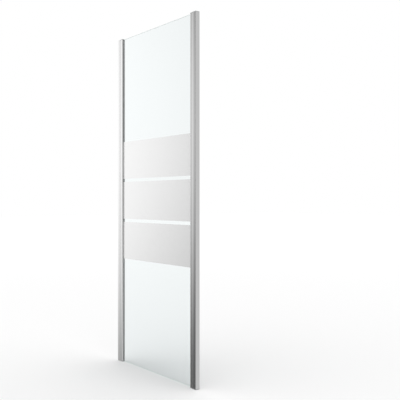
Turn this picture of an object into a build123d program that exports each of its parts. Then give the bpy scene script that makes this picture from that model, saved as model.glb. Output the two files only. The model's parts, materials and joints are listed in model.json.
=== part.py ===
from build123d import *
import os

# Fixed shower screen: a clear glass panel with three silver bands, held between a wall
# channel and a corner post. The glass is glazed into two like stiles. The wall stile
# slides in the wall channel to suit the wall, and is then clamped.
# Frame: the origin is at the foot of the wall face, +X runs along the screen away from
# the wall, +Y points into the shower and +Z is up. All sizes are in millimetres.

# Overall size
screen_height = 1900.0
screen_width = 760.0
profile_thickness = 25.0

# Glass and its silver bands
glass_thickness = 6.0
glass_arris = 0.6
glass_top_gap = 4.0
band_height = 216.0
band_gap = 18.0
band_film = 0.15
band_side_gap = 0.2

# Wall channel
channel_wall = 1.2
channel_web = 1.8
channel_corner = 1.2
channel_tip = 0.2
sealant_groove_width = 2.0
sealant_groove_depth = 0.5
sealant_groove_offset = 8.0
wall_hole_radius = 2.5
wall_countersink_radius = 3.4
wall_countersink_angle = 90.0
wall_hole_count = 4
wall_hole_end = 110.0

# Glazing stile, the same extrusion on both sides of the glass
stile_depth = 42.5
stile_wall = 1.4
stile_corner = 1.0
stile_mouth_corner = 4.0
stile_inner_corner = 0.4
pocket_depth = 14.0
glass_grip = 11.0
seat_rib_length = 6.0
seat_rib_wall = 1.2
seat_rib_gap = 1.2

# Gaskets, packers and pads around the glass
gasket_thickness = 2.4
gasket_nose = 0.6
gasket_nose_face = 1.0
gasket_hook = 1.4
gasket_hook_width = 1.5
gasket_tail = 7.6
gasket_tail_end = 1.0
gasket_clearance = 0.05
packer_height = 60.0
packer_count = 3
packer_side_clearance = 0.2
packer_end = 250.0
pad_thickness = 1.0
pad_length = 9.0
pad_side_clearance = 0.1

# Width adjustment
adjust_travel = 5.0
sliding_clearance = 0.3
back_clearance = 0.7
clamp_count = 3
clamp_end = 190.0
clamp_edge_distance = 5.3
clamp_screw_radius = 2.0
clamp_hole_clearance = 0.1
clamp_slot_clearance = 0.3
clamp_plate_edge = 3.0
clamp_plate_thickness = 2.5
clamp_plate_height = 20.0
clamp_plate_corner = 0.8
clamp_screw_tail = 1.0

# Corner post
post_width = 32.0
post_wall = 1.5
post_end_wall = 1.8
post_seat_web = 1.4
post_chamber = 4.1
post_seat_clearance = 0.2
post_side_clearance = 0.15
post_corner = 0.8
post_crown = 0.22
post_tip = 0.6
post_inner_corner = 0.8
post_screw_count = 3
post_screw_end = 150.0
post_screw_edge = 5.4
post_screw_radius = 1.75
post_screw_length = 6.5
post_screw_clearance = 0.05
door_hole_radius = 1.6
door_hole_count = 4
door_hole_end = 110.0
door_line_from_end = 12.5
drill_line_width = 1.0
drill_line_depth = 0.3

# Screw heads and their snap covers, the same on both sides
head_radius = 3.3
head_height = 2.2
head_bevel = 0.7
cover_radius = 4.6
cover_height = 3.4
cover_bevel = 1.1
cover_fit = 0.15

# End caps
cap_thickness = 3.0
cap_edge = 0.5
plug_length = 10.0
plug_wall = 1.5
plug_clearance = 0.25
plug_corner = 0.5

# Places that follow from the sizes above
stile_thickness = profile_thickness - 2 * (channel_wall + sliding_clearance)
half_profile = profile_thickness / 2
half_stile = stile_thickness / 2
half_pocket = half_stile - stile_wall
half_glass = glass_thickness / 2
half_lip = half_glass + gasket_thickness
mouth_corner = min(stile_mouth_corner, half_stile - half_lip - gasket_hook)
pocket_floor = stile_depth - pocket_depth
pocket_lip = stile_depth - stile_wall
chamber_end = pocket_floor - stile_wall
wall_stile_x = channel_web + adjust_travel + back_clearance
wall_mouth_x = wall_stile_x + stile_depth
post_back = post_end_wall + post_chamber + post_seat_web + post_seat_clearance
post_stile_x = screen_width - post_back
post_mouth_x = post_stile_x - stile_depth
post_x = screen_width - post_width
post_chamber_x1 = screen_width - post_end_wall
post_chamber_x0 = post_chamber_x1 - post_chamber
clamp_x = (wall_stile_x + stile_wall + sliding_clearance + clamp_plate_edge
           + adjust_travel)
clamp_plate_width = (chamber_end - stile_wall
                     - 2 * (adjust_travel + sliding_clearance))
channel_depth = clamp_x + clamp_edge_distance
post_screw_x = max(post_x, post_stile_x - chamber_end) + post_screw_edge
door_line_x = screen_width - door_line_from_end
stile_bottom = cap_thickness
stile_length = screen_height - 2 * cap_thickness
glass_bottom = cap_thickness + pad_thickness
glass_height = screen_height - glass_top_gap - glass_bottom
glass_x0 = wall_mouth_x - glass_grip
glass_x1 = post_mouth_x + glass_grip

# A stile's section is drawn in its own plane: x runs from the stile's back to its mouth.
# The wall stile opens away from the wall and the post stile opens towards it, so the
# outer face of the screen is at -y in one plane and at +y in the other.
wall_side = Plane(origin=(wall_stile_x, 0, 0), x_dir=(1, 0, 0), z_dir=(0, 0, 1))
post_side = Plane(origin=(post_stile_x, 0, 0), x_dir=(-1, 0, 0), z_dir=(0, 0, 1))

os.makedirs("parts", exist_ok=True)


def spread(count, end):
    """Heights of count fixings, evenly spaced, the outer two this far from the ends."""
    step = (screen_height - 2 * end) / (count - 1)
    return [end + step * i for i in range(count)]


def finish(piece, name):
    """Label a finished piece and write it under its name."""
    piece.part.label = name
    export_step(piece.part, f"parts/{name}.step")


def block(plane, x0, x1, half_width):
    """Rectangle from x0 to x1, centred on the plane's x axis."""
    with BuildSketch(plane) as sketch:
        with Locations(((x0 + x1) / 2, 0)):
            Rectangle(x1 - x0, 2 * half_width)
    return sketch.sketch


def stile_outline(plane):
    """Outside of the stile: small corners at its back, full round ones at its mouth, which
    leave a flat behind the lip for the gasket's hook."""
    with BuildSketch(plane) as sketch:
        add(block(Plane.XY, 0, stile_depth, half_stile))
        fillet(sketch.vertices().group_by(Axis.X)[-1], mouth_corner)
        fillet(sketch.vertices().group_by(Axis.X)[0], stile_corner)
    return sketch.sketch


def stile_section(plane):
    """Closed chamber behind, glass pocket with seat ribs and a lipped mouth in front."""
    with BuildSketch(plane) as sketch:
        add(stile_outline(Plane.XY))
        with BuildSketch(mode=Mode.SUBTRACT) as chamber:
            add(block(Plane.XY, stile_wall, chamber_end, half_pocket))
            fillet(chamber.vertices(), stile_inner_corner)
        with BuildSketch(mode=Mode.SUBTRACT) as pocket:
            add(block(Plane.XY, pocket_floor, pocket_lip, half_pocket))
            fillet(pocket.vertices().group_by(Axis.X)[-1], mouth_corner - stile_wall)
            fillet(pocket.vertices().group_by(Axis.X)[0], stile_inner_corner)
        add(block(Plane.XY, pocket_lip, stile_depth, half_lip), mode=Mode.SUBTRACT)
        rib_y = half_glass + seat_rib_gap + seat_rib_wall / 2
        with Locations((pocket_floor + seat_rib_length / 2, rib_y),
                       (pocket_floor + seat_rib_length / 2, -rib_y)):
            Rectangle(seat_rib_length, seat_rib_wall)
    return sketch.sketch


def gasket_section(plane, face):
    """Wedge gasket between the glass and the lip: nose outside, hook behind the lip."""
    lip_y = half_lip - gasket_clearance
    hook_x = pocket_lip - gasket_clearance
    with BuildSketch(plane) as sketch:
        with BuildLine():
            nose = Line((stile_depth + gasket_nose, face * half_glass),
                        (stile_depth + gasket_nose, face * (half_glass + gasket_nose_face)))
            TangentArc(nose @ 1, (stile_depth, face * lip_y), tangent=(0, face))
            Polyline((stile_depth, face * lip_y),
                     (hook_x, face * lip_y),
                     (hook_x, face * (half_lip + gasket_hook)),
                     (hook_x - gasket_hook_width, face * (half_lip + gasket_hook)),
                     (hook_x - 2 * gasket_hook_width, face * half_lip),
                     (stile_depth - gasket_tail, face * (half_glass + gasket_tail_end)),
                     (stile_depth - gasket_tail, face * half_glass),
                     nose @ 0)
        make_face()
    return sketch.sketch


def channel_section():
    """U with rounded outer corners and flange tips, and two sealant grooves behind."""
    with BuildSketch() as sketch:
        add(block(Plane.XY, 0, channel_depth, half_profile))
        add(block(Plane.XY, channel_web, channel_depth, half_profile - channel_wall),
            mode=Mode.SUBTRACT)
        tips = sketch.vertices().group_by(Axis.X)[-1]
        fillet(tips, channel_tip)
        back_corners = sketch.vertices().group_by(Axis.X)[0]
        fillet(back_corners, channel_corner)
        with Locations((sealant_groove_depth / 2, sealant_groove_offset),
                       (sealant_groove_depth / 2, -sealant_groove_offset)):
            Rectangle(sealant_groove_depth, sealant_groove_width, mode=Mode.SUBTRACT)
    return sketch.sketch


def post_outline(plane):
    """Outside of the corner post: its outer face and its end are slightly crowned."""
    flank_y = -half_profile + post_crown
    end_x = screen_width - post_crown
    with BuildSketch(plane) as sketch:
        with BuildLine():
            ThreePointArc((post_x, flank_y), ((post_x + end_x) / 2, -half_profile),
                          (end_x, flank_y))
            ThreePointArc((end_x, flank_y), (screen_width, post_crown / 2),
                          (end_x, half_profile))
            Polyline((end_x, half_profile), (post_x, half_profile), (post_x, flank_y))
        make_face()
        fillet(sketch.vertices().group_by(Axis.X)[-1], post_corner)
        fillet(sketch.vertices().group_by(Axis.X)[0], post_tip)
    return sketch.sketch


def post_section(plane):
    """Mouth that takes the stile up to a seat web, with a closed chamber beyond it."""
    with BuildSketch(plane) as sketch:
        add(post_outline(Plane.XY))
        add(block(Plane.XY, post_x, post_chamber_x0 - post_seat_web,
                  half_stile + post_side_clearance), mode=Mode.SUBTRACT)
        with BuildSketch(mode=Mode.SUBTRACT) as chamber:
            add(block(Plane.XY, post_chamber_x0, post_chamber_x1,
                      half_profile - post_wall))
            fillet(chamber.vertices(), post_inner_corner)
        with Locations((door_line_x, half_profile - drill_line_depth / 2)):
            Rectangle(drill_line_width, drill_line_depth, mode=Mode.SUBTRACT)
    return sketch.sketch


def plug_section(plane, x0, x1, half_width):
    """Hollow plug that fills a closed chamber with a push-fit clearance."""
    with BuildSketch(plane) as sketch:
        with BuildSketch() as outside:
            add(block(Plane.XY, x0 + plug_clearance, x1 - plug_clearance,
                      half_width - plug_clearance))
            chamfer(outside.vertices(), plug_corner)
        inset = plug_clearance + plug_wall
        if x1 - x0 > 3 * inset:
            add(block(Plane.XY, x0 + inset, x1 - inset, half_width - inset),
                mode=Mode.SUBTRACT)
    return sketch.sketch


def chamber_plug(plane):
    """Plug for the chamber of a stile."""
    return plug_section(plane, stile_wall, chamber_end, half_pocket)


def pin_holes(x, half_thickness, wall, radius, heights):
    """Round holes through the inner flange of a profile, one at each height."""
    for z in heights:
        with Locations(Location((x, half_thickness - wall / 2, z), (90, 0, 0))):
            Cylinder(radius, 3 * wall, mode=Mode.SUBTRACT)


def disc_section(radius, y0, y1):
    """Half section of a disc on the Y axis."""
    with BuildSketch() as sketch:
        with Locations((radius / 2, (y0 + y1) / 2)):
            Rectangle(radius, y1 - y0)
    return sketch.sketch


def rim_corner(sketch):
    """The outer top corner of a half section."""
    return sketch.vertices().group_by(Axis.X)[-1].sort_by(Axis.Y)[-1]


def screw(flange_y, radius, end_y):
    """Pan head screw along Y: the head on the flange, the shank in to end_y."""
    with BuildPart() as piece:
        with BuildSketch() as section:
            add(disc_section(head_radius, flange_y, flange_y + head_height))
            chamfer(rim_corner(section), head_bevel)
            add(disc_section(radius, end_y, flange_y))
        revolve(axis=Axis.Y)
    return piece.part


def snap_cover(flange_y):
    """Plastic cover pressed over a screw head, its rim bevelled down to the flange."""
    hollow_top = flange_y + head_height + cover_fit
    with BuildPart() as piece:
        with BuildSketch() as section:
            add(disc_section(cover_radius, flange_y, flange_y + cover_height))
            chamfer(rim_corner(section), cover_bevel)
            add(disc_section(head_radius + cover_fit, flange_y, hollow_top),
                mode=Mode.SUBTRACT)
        revolve(axis=Axis.Y)
    return piece.part


# Wall channel with countersunk holes for the wall screws and holes for the clamp screws
wall_heights = spread(wall_hole_count, wall_hole_end)
clamp_heights = spread(clamp_count, clamp_end)
with BuildPart() as wall_channel:
    extrude(channel_section(), amount=screen_height)
    for z in wall_heights:
        with Locations(Location((channel_web, 0, z), (0, 90, 0))):
            CounterSinkHole(wall_hole_radius, wall_countersink_radius, 2 * channel_web,
                            wall_countersink_angle)
    pin_holes(clamp_x, half_profile, channel_wall,
              clamp_screw_radius + clamp_hole_clearance, clamp_heights)
finish(wall_channel, "wall_channel")

# Clamp fixings: screw and cover on the inner flange, plate inside the stile
clamp_plate_top = half_pocket - sliding_clearance
clamp_plate_bottom = clamp_plate_top - clamp_plate_thickness
one_clamp_screw = screw(half_profile, clamp_screw_radius,
                        clamp_plate_bottom - clamp_screw_tail)
one_cover = snap_cover(half_profile)
clamp_places = [(clamp_x, 0, z) for z in clamp_heights]

with BuildPart() as clamp_screws:
    with Locations(*clamp_places):
        add(one_clamp_screw)
finish(clamp_screws, "clamp_screws")

with BuildPart() as clamp_screw_covers:
    with Locations(*clamp_places):
        add(one_cover)
finish(clamp_screw_covers, "clamp_screw_covers")

with BuildPart() as clamp_plates:
    plate_x = clamp_x - clamp_plate_edge + clamp_plate_width / 2
    plate_y = clamp_plate_top - clamp_plate_thickness / 2
    with Locations(*[(plate_x, plate_y, z) for z in clamp_heights]):
        Box(clamp_plate_width, clamp_plate_thickness, clamp_plate_height)
    chamfer(clamp_plates.edges().filter_by(Axis.Y), clamp_plate_corner)
    pin_holes(clamp_x, clamp_plate_top, clamp_plate_thickness,
              clamp_screw_radius + clamp_hole_clearance, clamp_heights)
finish(clamp_plates, "clamp_plates")

# Stiles: slots for the clamp screws on the wall side, screw holes on the post side
post_heights = spread(post_screw_count, post_screw_end)
door_heights = spread(door_hole_count, door_hole_end)
slot_radius = clamp_screw_radius + clamp_slot_clearance
slot_length = 2 * (adjust_travel + clamp_slot_clearance + slot_radius)
with BuildPart() as wall_stile:
    extrude(stile_section(wall_side.offset(stile_bottom)), amount=stile_length)
    slot_plane = Plane(origin=(clamp_x, half_stile, 0), x_dir=(1, 0, 0), z_dir=(0, 1, 0))
    with BuildSketch(slot_plane):
        with Locations(*[(0, -z) for z in clamp_heights]):
            SlotOverall(slot_length, 2 * slot_radius)
    extrude(amount=-2 * stile_wall, mode=Mode.SUBTRACT)
finish(wall_stile, "wall_stile")

with BuildPart() as post_stile:
    extrude(stile_section(post_side.offset(stile_bottom)), amount=stile_length)
    pin_holes(post_screw_x, half_stile, stile_wall,
              post_screw_radius + post_screw_clearance, post_heights)
    pin_holes(door_line_x, half_stile, stile_wall, door_hole_radius, door_heights)
finish(post_stile, "post_stile")

# Corner post with its drill line and pilot holes for a door frame
with BuildPart() as corner_post:
    extrude(post_section(Plane.XY.offset(stile_bottom)), amount=stile_length)
    pin_holes(post_screw_x, half_profile, post_wall,
              post_screw_radius + post_screw_clearance, post_heights)
    pin_holes(door_line_x, half_profile, post_wall, door_hole_radius, door_heights)
finish(corner_post, "corner_post")

# Screws that hold the post on its stile
one_post_screw = screw(half_profile, post_screw_radius, half_profile - post_screw_length)
post_places = [(post_screw_x, 0, z) for z in post_heights]

with BuildPart() as post_screws:
    with Locations(*post_places):
        add(one_post_screw)
finish(post_screws, "post_screws")

with BuildPart() as post_screw_covers:
    with Locations(*post_places):
        add(one_cover)
finish(post_screw_covers, "post_screw_covers")

# Glass with arrised edges
with BuildPart() as glass_pane:
    with Locations(((glass_x0 + glass_x1) / 2, 0, glass_bottom + glass_height / 2)):
        Box(glass_x1 - glass_x0, glass_thickness, glass_height)
    chamfer(glass_pane.edges().filter_by(Axis.Y, reverse=True), glass_arris)
finish(glass_pane, "glass_pane")

# Silver bands on the outer face, from gasket to gasket, centred on the screen's height
band_x0 = wall_mouth_x + gasket_nose + band_side_gap
band_x1 = post_mouth_x - gasket_nose - band_side_gap
band_pitch = band_height + band_gap
for step, name in ((-1, "lower_band"), (0, "middle_band"), (1, "upper_band")):
    band_z = screen_height / 2 + step * band_pitch
    with BuildPart() as band:
        with Locations(((band_x0 + band_x1) / 2, -half_glass - band_film / 2, band_z)):
            Box(band_x1 - band_x0, band_film, band_height)
    finish(band, name)

# Gaskets, edge packers, setting pads and end caps of the two sides
packer_heights = spread(packer_count, packer_end)
for side, plane, outer in (("wall", wall_side, -1), ("post", post_side, 1)):
    for face_name, face in (("outer", outer), ("inner", -outer)):
        with BuildPart() as gasket:
            extrude(gasket_section(plane.offset(stile_bottom), face), amount=stile_length)
        finish(gasket, f"{side}_{face_name}_gasket")

    glass_edge = stile_depth - glass_grip
    packer_half = half_glass + seat_rib_gap - packer_side_clearance
    with BuildPart() as edge_packers:
        for z in packer_heights:
            extrude(block(plane.offset(z - packer_height / 2), pocket_floor, glass_edge,
                          packer_half), amount=packer_height)
    finish(edge_packers, f"{side}_edge_packers")

    pad_start = glass_edge + glass_arris
    with BuildPart() as setting_pad:
        extrude(block(plane.offset(cap_thickness), pad_start, pad_start + pad_length,
                      half_glass - pad_side_clearance), amount=pad_thickness)
    finish(setting_pad, f"{side}_setting_pad")


def end_cap(outlines, plugs, top):
    """Cap plate with its plugs, made at the foot and mirrored up for the top one."""
    with BuildPart() as cap:
        for outline in outlines:
            extrude(outline, amount=cap_thickness)
        chamfer(cap.faces().sort_by(Axis.Z)[0].edges(), cap_edge)
        for plug in plugs:
            extrude(plug, amount=plug_length)
        if top:
            mirror(about=Plane.XY.offset(screen_height / 2), mode=Mode.REPLACE)
    return cap


foot = Plane.XY
plug_foot = Plane.XY.offset(cap_thickness)
for end_name in ("top", "bottom"):
    is_top = end_name == "top"
    stile_cap = end_cap([stile_outline(wall_side)],
                        [chamber_plug(wall_side.offset(cap_thickness))], is_top)
    finish(stile_cap, f"wall_stile_{end_name}_cap")
    post_cap = end_cap([post_outline(foot), stile_outline(post_side)],
                       [chamber_plug(post_side.offset(cap_thickness)),
                        plug_section(plug_foot, post_chamber_x0, post_chamber_x1,
                                     half_profile - post_wall)], is_top)
    finish(post_cap, f"corner_post_{end_name}_cap")
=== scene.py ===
import json
import math

import bmesh
import bpy
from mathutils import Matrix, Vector


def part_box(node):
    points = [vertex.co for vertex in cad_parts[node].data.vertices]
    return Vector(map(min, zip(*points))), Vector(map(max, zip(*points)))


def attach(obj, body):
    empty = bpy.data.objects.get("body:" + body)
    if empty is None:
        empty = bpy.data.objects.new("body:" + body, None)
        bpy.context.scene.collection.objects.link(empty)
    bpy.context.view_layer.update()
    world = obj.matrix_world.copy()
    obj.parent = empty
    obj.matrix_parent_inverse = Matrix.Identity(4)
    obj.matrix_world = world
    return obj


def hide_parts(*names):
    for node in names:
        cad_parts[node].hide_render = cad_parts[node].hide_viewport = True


# Looks of a fixed shower screen: glass with three silver bands between two aluminium profiles.
# Places and sizes are in metres: +X runs along the screen away from the wall, +Y points into the
# shower and +Z is up.
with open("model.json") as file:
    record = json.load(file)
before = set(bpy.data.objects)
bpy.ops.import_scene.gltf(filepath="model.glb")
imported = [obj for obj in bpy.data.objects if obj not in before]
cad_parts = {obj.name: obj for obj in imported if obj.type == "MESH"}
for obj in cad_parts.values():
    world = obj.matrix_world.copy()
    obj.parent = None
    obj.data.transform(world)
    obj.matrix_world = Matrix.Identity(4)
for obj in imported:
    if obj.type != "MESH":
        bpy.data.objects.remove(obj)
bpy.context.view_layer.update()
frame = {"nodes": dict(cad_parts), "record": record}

# Camera of the photograph: level, at mid-height, round towards the free end of the screen
CAMERA_PLACE = (3.277, -1.9445, 0.952)
CAMERA_AZIMUTH = 52.1
CAMERA_LENS = 57.06
CAMERA_SENSOR = 36.0

# White light all round: what matt surfaces receive, and what is seen as the backdrop
LIGHT_BRIGHTNESS = 1.1
SEEN_BRIGHTNESS = 1.0

# The studio that only reflections see: a grey room whose ceiling starts at one height, as the
# sine of its angle, and is full at another. The panels are painted over it in this order. The
# centre of a panel lies at an azimuth, from -X round towards -Y, and a height above level. The
# panel is full up to one angle from its centre and gone at the other. All angles are in degrees.
ROOM_BRIGHTNESS = 0.6
CEILING_BRIGHTNESS = 0.9
CEILING_START = 0.5
CEILING_FULL = 0.95
DARK_FLAG = {"azimuth": 47.0, "height": 2.48, "full": 23.28, "end": 32.0, "brightness": 0.11}
SOFT_BOX = {"azimuth": 10.5, "height": 6.6, "full": 18.2, "end": 34.8, "brightness": 1.19}
PALE_SCREEN = {"azimuth": -8.0, "height": 0.0, "full": 16.0, "end": 32.0, "brightness": 0.7}

# Floor: its tone changes between two distances from the foot of the wall, darker near it as
# painted shade
FLOOR_SIZE = 60.0
FLOOR_NEAR = 1.0
FLOOR_FAR = 10.0
FLOOR_PAINTED_SHADE_TONE = 0.9
FLOOR_FAR_TONE = 0.93
FLOOR_ROUGHNESS = 0.9

# Tones and finishes
METAL_TONE = 0.85
METAL_ROUGHNESS = 0.12
SAW_ROUGHNESS = 0.34
FILM_TONE = 0.86
FILM_ROUGHNESS = 0.06
FILM_METAL = 0.43
GASKET_TONE = 0.149
GLASS_IOR = 1.52
GLASS_COLOUR = (0.52, 0.76, 0.78)
GLASS_DENSITY = 20.0
EDGE_COLOUR = (0.78, 0.9, 0.86)
PLASTIC_COLOUR = (0.3, 0.305, 0.31)
NYLON_COLOUR = (0.85, 0.84, 0.8)
STEEL_COLOUR = (0.7, 0.7, 0.71)

# The pane stands this far clear of the pieces that touch it, so that they show through it
GLASS_GAP = 0.00002
GLASS_ARRIS = 0.0006

# Cosines: between the first two a surface comes to face an axis, and past the last it's square on
FACING_START = 0.8
FACING_FULL = 0.95
SQUARE_ON = 0.99

NOISE_DETAIL = 3.0


def add_node(tree, kind, **settings):
    """A new node with some of its properties set."""
    node = tree.nodes.new(kind)
    for key, value in settings.items():
        setattr(node, key, value)
    return node


def ramp(tree, value, low, high, smooth=True):
    """0 to 1 as a value goes from low to high."""
    node = add_node(tree, "ShaderNodeMapRange")
    if smooth:
        node.interpolation_type = "SMOOTHSTEP"
    node.inputs["From Min"].default_value = low
    node.inputs["From Max"].default_value = high
    tree.links.new(value, node.inputs["Value"])
    return node.outputs["Result"]


def mix_values(tree, factor, low, high):
    """A number that goes from low to high as a factor goes from 0 to 1."""
    node = add_node(tree, "ShaderNodeMix", data_type="FLOAT")
    tree.links.new(factor, node.inputs["Factor"])
    for end, socket in ((low, node.inputs["A"]), (high, node.inputs["B"])):
        if isinstance(end, bpy.types.NodeSocket):
            tree.links.new(end, socket)
        else:
            socket.default_value = end
    return node.outputs["Result"]


def dot_with(tree, direction, axis):
    """Dot product of a direction and a fixed axis."""
    dot = add_node(tree, "ShaderNodeVectorMath", operation="DOT_PRODUCT")
    tree.links.new(direction, dot.inputs[0])
    dot.inputs[1].default_value = axis
    return dot.outputs["Value"]


def angle_from(tree, direction, axis):
    """Angle between a direction and a fixed axis."""
    angle = add_node(tree, "ShaderNodeMath", operation="ARCCOSINE")
    tree.links.new(dot_with(tree, direction, axis), angle.inputs[0])
    return angle.outputs[0]


def towards(azimuth, height):
    """Direction at an azimuth from -X round towards -Y, and a height above level."""
    a = math.radians(azimuth)
    h = math.radians(height)
    return (-math.cos(a) * math.cos(h), -math.sin(a) * math.cos(h), math.sin(h))


def add_object(name, data):
    """A new object in the scene."""
    thing = bpy.data.objects.new(name, data)
    bpy.context.scene.collection.objects.link(thing)
    return thing


def add_camera():
    """The camera at the photograph's viewing angle."""
    data = bpy.data.cameras.new("camera")
    data.lens = CAMERA_LENS
    data.sensor_width = CAMERA_SENSOR
    camera = add_object("camera", data)
    camera.location = CAMERA_PLACE
    camera.rotation_euler = (math.radians(90), 0, math.radians(CAMERA_AZIMUTH))
    bpy.context.scene.camera = camera


def mirrored_studio(tree):
    """Brightness of what the metal mirrors in each direction."""
    direction = add_node(tree, "ShaderNodeTexCoord").outputs["Generated"]
    ceiling = ramp(tree, dot_with(tree, direction, (0, 0, 1)), CEILING_START, CEILING_FULL)
    level = mix_values(tree, ceiling, ROOM_BRIGHTNESS, CEILING_BRIGHTNESS)
    for panel in (DARK_FLAG, SOFT_BOX, PALE_SCREEN):
        angle = angle_from(tree, direction, towards(panel["azimuth"], panel["height"]))
        outside = ramp(tree, angle, math.radians(panel["full"]), math.radians(panel["end"]))
        level = mix_values(tree, outside, panel["brightness"], level)
    return level


def add_world():
    """White light and backdrop, and a studio that only reflections see."""
    world = bpy.data.worlds.new("studio")
    world.use_nodes = True
    world.cycles.sampling_method = "NONE"
    tree = world.node_tree
    tree.nodes.clear()
    path = add_node(tree, "ShaderNodeLightPath").outputs
    reflected = ramp(tree, path["Glossy Depth"], 0, 1, smooth=False)
    level = mix_values(tree, reflected, SEEN_BRIGHTNESS, mirrored_studio(tree))
    level = mix_values(tree, path["Is Diffuse Ray"], level, LIGHT_BRIGHTNESS)
    background = add_node(tree, "ShaderNodeBackground")
    background.inputs["Color"].default_value = (1, 1, 1, 1)
    tree.links.new(level, background.inputs["Strength"])
    output = add_node(tree, "ShaderNodeOutputWorld")
    tree.links.new(background.outputs[0], output.inputs["Surface"])
    bpy.context.scene.world = world


class Surface:
    """A material with one Principled shader, and short ways to feed it."""

    def __init__(self, name, metallic=0.0):
        self.material = bpy.data.materials.new(name)
        self.material.use_nodes = True
        self.tree = self.material.node_tree
        self.shader = self.tree.nodes["Principled BSDF"]
        self.set("Metallic", metallic)
        self.place = add_node(self.tree, "ShaderNodeTexCoord").outputs["Object"]

    def set(self, socket, value):
        """A value that is the same all over the surface."""
        self.shader.inputs[socket].default_value = value

    def feed(self, output, socket):
        """Links an output to one of the shader's inputs."""
        self.tree.links.new(output, self.shader.inputs[socket])

    def facing(self, axis):
        """1 where the surface faces along an axis, either way, and 0 where it doesn't."""
        normal = add_node(self.tree, "ShaderNodeTexCoord").outputs["Normal"]
        size = add_node(self.tree, "ShaderNodeMath", operation="ABSOLUTE")
        self.tree.links.new(dot_with(self.tree, normal, axis), size.inputs[0])
        return ramp(self.tree, size.outputs[0], FACING_START, FACING_FULL)

    def noise(self, per_metre):
        """Noise from 0 to 1, with so many features per metre along X, Y and Z."""
        mapping = add_node(self.tree, "ShaderNodeMapping")
        mapping.inputs["Scale"].default_value = per_metre
        self.tree.links.new(self.place, mapping.inputs["Vector"])
        noise = add_node(self.tree, "ShaderNodeTexNoise")
        noise.inputs["Scale"].default_value = 1.0
        noise.inputs["Detail"].default_value = NOISE_DETAIL
        self.tree.links.new(mapping.outputs["Vector"], noise.inputs["Vector"])
        return noise.outputs["Fac"]

    def between(self, factor, low, high):
        """A number that follows a factor from low to high."""
        return mix_values(self.tree, factor, low, high)

    def colour(self, factor, middle, spread):
        """A base colour that a factor moves either way from its middle."""
        mix = add_node(self.tree, "ShaderNodeMix", data_type="RGBA")
        self.tree.links.new(factor, mix.inputs["Factor"])
        mix.inputs["A"].default_value = (*[tone - spread for tone in middle], 1.0)
        mix.inputs["B"].default_value = (*[tone + spread for tone in middle], 1.0)
        self.set("Base Color", (*middle, 1.0))
        self.feed(mix.outputs["Result"], "Base Color")

    def roughness(self, factor, middle, spread):
        """A roughness that a factor moves either way from its middle."""
        self.set("Roughness", middle)
        self.feed(self.between(factor, middle - spread, middle + spread), "Roughness")

    def bump(self, height, depth, strength):
        """Relief from a height, as deep as this in metres."""
        bump = add_node(self.tree, "ShaderNodeBump")
        bump.inputs["Distance"].default_value = depth
        bump.inputs["Strength"].default_value = strength
        self.tree.links.new(height, bump.inputs["Height"])
        self.feed(bump.outputs["Normal"], "Normal")


def grey(tone):
    """A neutral colour."""
    return (tone, tone, tone)


def pale_floor():
    """Matt floor with painted shade: darker near the foot of the wall, whiter further off."""
    surface = Surface("pale_floor")
    distance = add_node(surface.tree, "ShaderNodeVectorMath", operation="LENGTH")
    surface.tree.links.new(surface.place, distance.inputs[0])
    # Painted shade: the floor's own tone is darker close to the screen and paler far off
    past_painted_shade = ramp(surface.tree, distance.outputs["Value"], FLOOR_NEAR, FLOOR_FAR)
    surface.feed(surface.between(past_painted_shade, FLOOR_PAINTED_SHADE_TONE, FLOOR_FAR_TONE), "Base Color")
    surface.set("Roughness", FLOOR_ROUGHNESS)
    surface.set("Specular IOR Level", 0.0)
    return surface.material


def anodised_aluminium():
    """Satin silver anodising over an extrusion's fine lines, with marks of the saw on its ends."""
    surface = Surface("anodised_aluminium", metallic=1.0)
    streaks = surface.noise(per_metre=(160, 160, 1.5))
    lines = surface.noise(per_metre=(1400, 1400, 5))
    saw_marks = surface.noise(per_metre=(60, 1600, 60))
    sawn = surface.facing((0, 0, 1))
    surface.colour(streaks, middle=grey(METAL_TONE), spread=0.02)
    drawn = surface.between(lines, METAL_ROUGHNESS - 0.03, METAL_ROUGHNESS + 0.03)
    surface.feed(surface.between(sawn, drawn, SAW_ROUGHNESS), "Roughness")
    surface.bump(surface.between(sawn, lines, saw_marks), depth=0.00001, strength=0.2)
    return surface.material


def clear_glass():
    """Clear toughened float glass, green in its depth."""
    surface = Surface("clear_glass")
    surface.set("Base Color", (1, 1, 1, 1))
    surface.set("Transmission Weight", 1.0)
    surface.set("IOR", GLASS_IOR)
    surface.roughness(surface.noise(per_metre=(6, 6, 6)), middle=0.005, spread=0.005)
    depth = add_node(surface.tree, "ShaderNodeVolumeAbsorption")
    depth.inputs["Color"].default_value = (*GLASS_COLOUR, 1.0)
    depth.inputs["Density"].default_value = GLASS_DENSITY
    output = surface.tree.nodes["Material Output"]
    surface.tree.links.new(depth.outputs[0], output.inputs["Volume"])
    return surface.material


def ground_edge():
    """Pale matt green of the pane's ground edges."""
    surface = Surface("ground_edge")
    grain = surface.noise(per_metre=(3000, 3000, 3000))
    surface.colour(grain, middle=EDGE_COLOUR, spread=0.02)
    surface.roughness(grain, middle=0.525, spread=0.075)
    surface.bump(grain, depth=0.00002, strength=0.3)
    return surface.material


def silver_film():
    """Opaque silver film, less metallic than the profiles."""
    surface = Surface("silver_film", metallic=FILM_METAL)
    cloud = surface.noise(per_metre=(30, 30, 30))
    surface.colour(cloud, middle=grey(FILM_TONE), spread=0.01)
    surface.roughness(cloud, middle=FILM_ROUGHNESS, spread=0.02)
    return surface.material


def dark_gasket():
    """Matt dark rubber with the faint lines of its extrusion."""
    surface = Surface("dark_gasket")
    lines = surface.noise(per_metre=(2500, 2500, 20))
    surface.colour(lines, middle=grey(GASKET_TONE), spread=0.03)
    surface.roughness(lines, middle=0.6, spread=0.1)
    surface.bump(lines, depth=0.00003, strength=0.4)
    return surface.material


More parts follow.
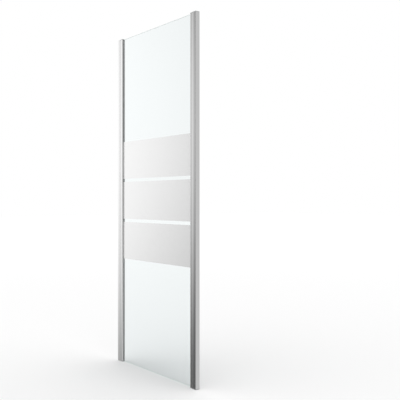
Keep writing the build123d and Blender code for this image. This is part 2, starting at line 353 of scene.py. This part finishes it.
def grey_plastic():
    """Moulded grey plastic with a fine spark-eroded skin."""
    surface = Surface("grey_plastic")
    grain = surface.noise(per_metre=(2200, 2200, 2200))
    surface.colour(grain, middle=PLASTIC_COLOUR, spread=0.02)
    surface.roughness(grain, middle=0.43, spread=0.07)
    surface.bump(grain, depth=0.00004, strength=0.4)
    return surface.material


def white_nylon():
    """Natural nylon, a little cloudy."""
    surface = Surface("white_nylon")
    cloud = surface.noise(per_metre=(300, 300, 300))
    surface.colour(cloud, middle=NYLON_COLOUR, spread=0.03)
    surface.roughness(cloud, middle=0.425, spread=0.075)
    return surface.material


def stainless_steel():
    """Bright stainless with turning marks."""
    surface = Surface("stainless_steel", metallic=1.0)
    marks = surface.noise(per_metre=(600, 3000, 600))
    surface.colour(marks, middle=STEEL_COLOUR, spread=0.04)
    surface.roughness(marks, middle=0.26, spread=0.08)
    return surface.material


FINISHES = {
    "anodised_aluminium": anodised_aluminium,
    "clear_glass": clear_glass,
    "silver_film": silver_film,
    "dark_gasket": dark_gasket,
    "grey_plastic": grey_plastic,
    "white_nylon": white_nylon,
    "stainless_steel": stainless_steel,
}


def add_floor():
    """Plain pale floor, which the metal doesn't mirror."""
    half = FLOOR_SIZE / 2
    mesh = bpy.data.meshes.new("floor")
    corners = [(-half, -half, 0), (half, -half, 0), (half, half, 0), (-half, half, 0)]
    mesh.from_pydata(corners, [], [(0, 1, 2, 3)])
    mesh.materials.append(pale_floor())
    floor = add_object("floor", mesh)
    floor.visible_glossy = False


def add_pane():
    """The pane with its ground arrises, a hair clear of the pieces that touch it."""
    low, high = (Vector(corner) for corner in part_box("glass_pane"))
    size = high - low - 2 * Vector((GLASS_GAP, GLASS_GAP, GLASS_GAP))
    shape = bmesh.new()
    bmesh.ops.create_cube(shape, size=1.0)
    bmesh.ops.scale(shape, vec=size, verts=shape.verts)
    bmesh.ops.translate(shape, vec=(high + low) / 2, verts=shape.verts)
    bmesh.ops.bevel(shape, geom=shape.edges, offset=GLASS_ARRIS, segments=1, affect="EDGES")
    mesh = bpy.data.meshes.new("ground_pane")
    shape.to_mesh(mesh)
    shape.free()
    pane = add_object("ground_pane", mesh)
    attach(pane, "panel")
    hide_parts("glass_pane")
    return pane


def grind_edges(pane):
    """Gives the rim and the arrises of the pane their ground finish."""
    pane.data.materials.append(ground_edge())
    for face in pane.data.polygons:
        if abs(face.normal.y) < SQUARE_ON:
            face.material_index = 1


def dress(pieces):
    """Gives every piece the material of its slot in the record."""
    made = {slot: make() for slot, make in FINISHES.items()}
    for part in frame["record"]["subparts"]:
        mesh = pieces[part["node"]].data
        mesh.materials.clear()
        mesh.materials.append(made[part["material_slot"]])
    grind_edges(pieces["glass_pane"])


pieces = {**frame["nodes"], "glass_pane": add_pane()}
add_camera()
add_world()
add_floor()
dress(pieces)
bpy.context.scene.view_settings.view_transform = "Standard"
